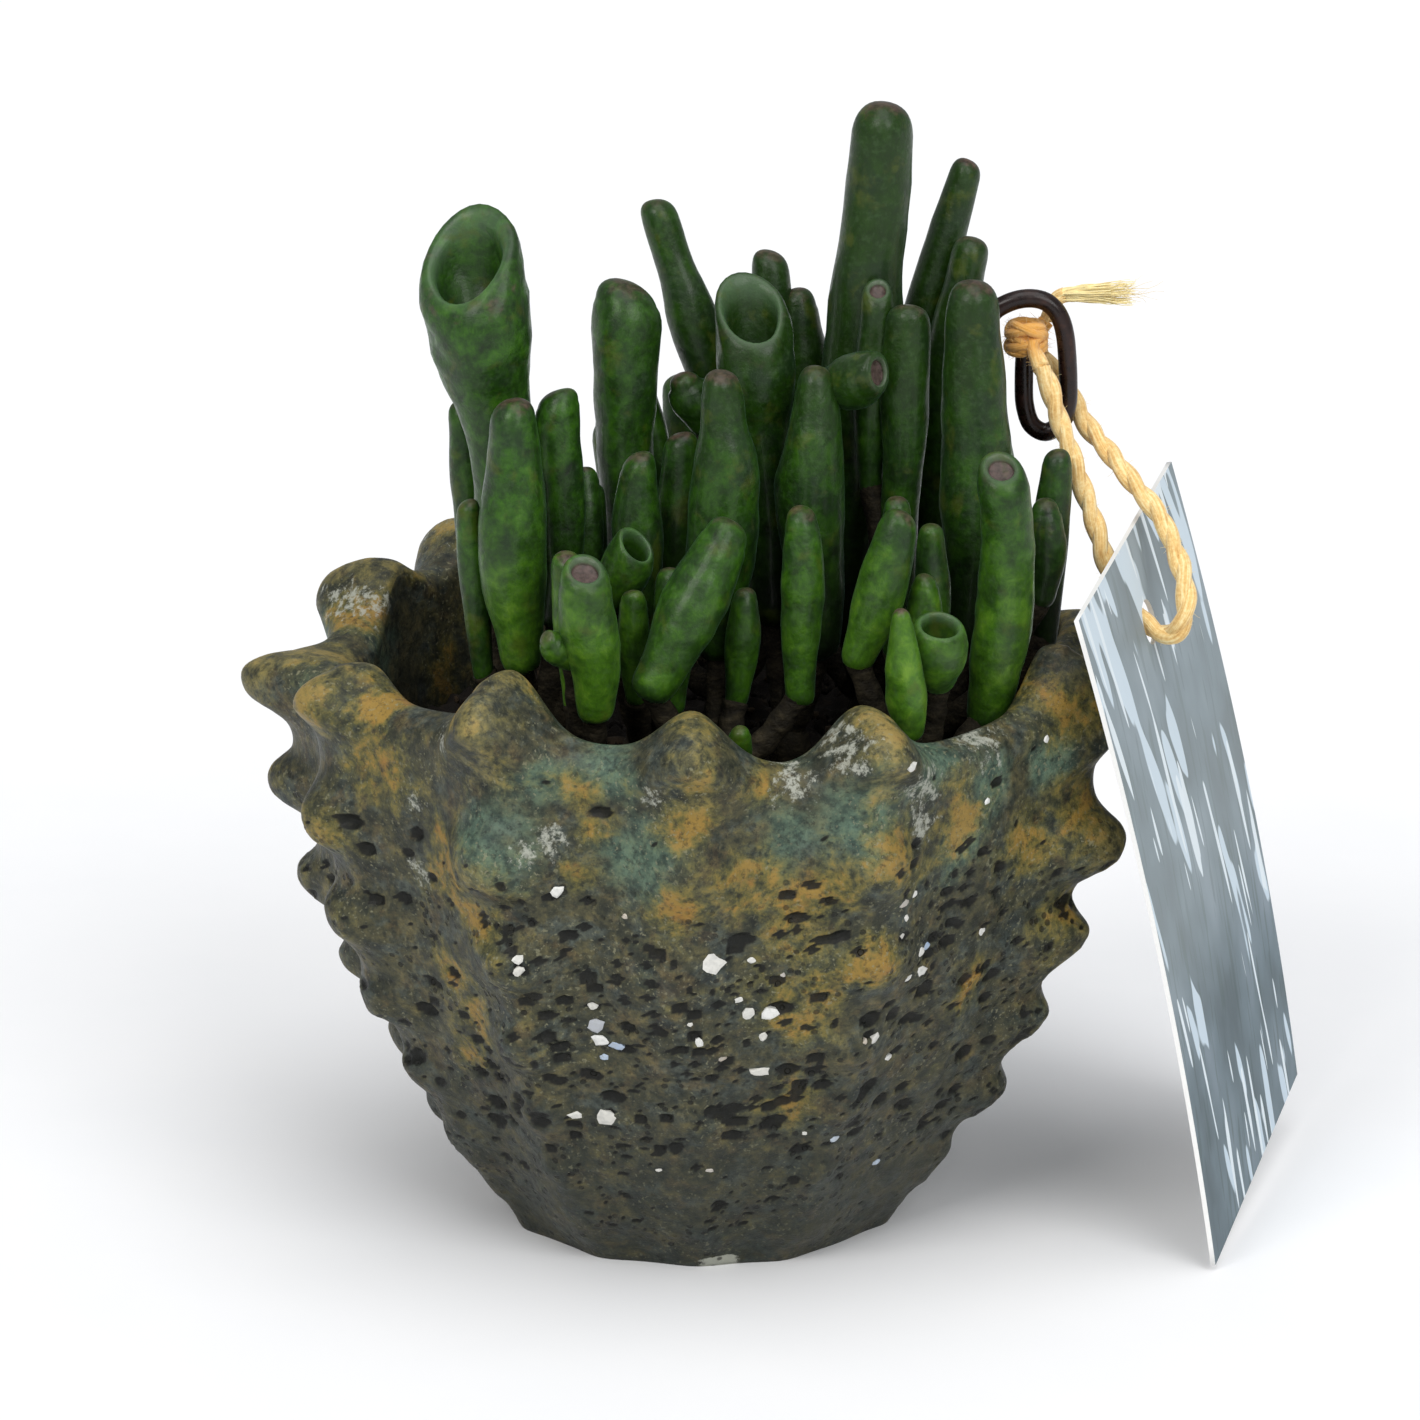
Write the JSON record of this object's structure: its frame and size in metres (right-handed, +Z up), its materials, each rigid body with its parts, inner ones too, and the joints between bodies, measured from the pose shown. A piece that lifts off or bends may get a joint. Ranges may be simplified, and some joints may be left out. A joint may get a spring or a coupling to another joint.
{
  "type": "potted gollum jade",
  "caption": "Small gollum jade succulent with finger and trumpet shaped leaves in a ribbed clam-shell pot, with a card tag tied to a wire hook.",
  "frame": {"origin": "middle of the pot's flat base, on the surface that it stands on", "axes": "+Z up, -Y towards the viewer of the picture, +X to the viewer's right"},
  "size_m": [0.1342, 0.1078, 0.1379],
  "materials": {
    "glaze": "satin",
    "soil": "matte",
    "leaf": "satin",
    "wire": "gloss",
    "jute": "matte",
    "card": "gloss"
  },
  "bodies": {
    "root": {"pot": "glaze", "soil": "soil", "stem_left": "leaf", "stem_front_left": "leaf", "stem_middle": "leaf", "stem_front": "leaf", "stem_centre": "leaf", "stem_back": "leaf", "stem_tall": "leaf", "stem_right": "leaf", "stem_front_right": "leaf", "hook": "wire", "knot": "jute", "twine": "jute", "twine_end": "jute", "tag": "card"}
  },
  "joints": []
}
